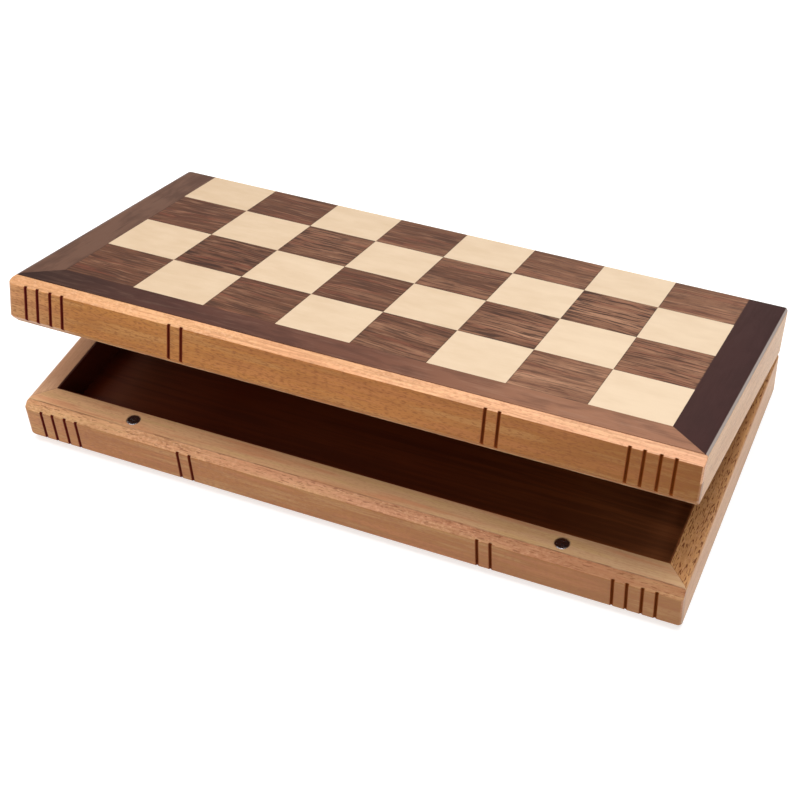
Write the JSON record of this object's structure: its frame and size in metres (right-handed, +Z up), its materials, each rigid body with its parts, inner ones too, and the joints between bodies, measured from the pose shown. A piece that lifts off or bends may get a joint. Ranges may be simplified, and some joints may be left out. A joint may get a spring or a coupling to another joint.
{
  "type": "folding chess box",
  "caption": "Folding wooden chess box: hinged trays with a chequered playing face outside and a lined inside for the pieces, kept shut by magnets.",
  "frame": {"origin": "middle of the lower tray's underside, the face it rests on", "axes": "+X along the box, the hinges; -Y towards the front, where it opens; +Z up"},
  "size_m": [0.3794, 0.1943, 0.1056],
  "materials": {
    "beech": "oiled, satin",
    "beech_rim": "oiled, satin",
    "plywood": "raw",
    "maple": "lacquered, satin",
    "walnut": "lacquered, satin",
    "border_brown": "lacquered, satin",
    "border_dark": "lacquered, satin",
    "lining": "stained, matt",
    "magnet": "nickel plated",
    "brass": "satin"
  },
  "bodies": {
    "base": {"base_front_rail": "beech_rim", "base_back_rail": "beech_rim", "base_left_rail": "beech_rim", "base_right_rail": "beech_rim", "base_front_facing": "beech", "base_board_panel": "plywood", "base_light_squares": "maple", "base_dark_squares": "walnut", "base_border_front": "border_brown", "base_border_left": "border_brown", "base_border_right": "border_dark", "base_floor_lining": "lining", "base_long_wall_linings": "lining", "base_short_wall_linings": "lining", "base_magnets": "magnet", "left_hinge_base_leaf": "brass", "left_hinge_pin": "brass", "right_hinge_base_leaf": "brass", "right_hinge_pin": "brass", "base_hinge_screws": "brass"},
    "lid": {"lid_front_rail": "beech_rim", "lid_back_rail": "beech_rim", "lid_left_rail": "beech_rim", "lid_right_rail": "beech_rim", "lid_front_facing": "beech", "lid_board_panel": "plywood", "lid_light_squares": "maple", "lid_dark_squares": "walnut", "lid_border_front": "border_brown", "lid_border_left": "border_brown", "lid_border_right": "border_dark", "lid_floor_lining": "lining", "lid_long_wall_linings": "lining", "lid_short_wall_linings": "lining", "lid_magnets": "magnet", "left_hinge_lid_leaf": "brass", "right_hinge_lid_leaf": "brass", "lid_hinge_screws": "brass"}
  },
  "joints": [
    {"name": "lid_hinge", "type": "hinge", "parent": "base", "child": "lid", "pos_m": [0, 0.09345, 0.0277], "axis": [-1, 0, 0], "range_deg": [-16.4, 163.6]}
  ]
}
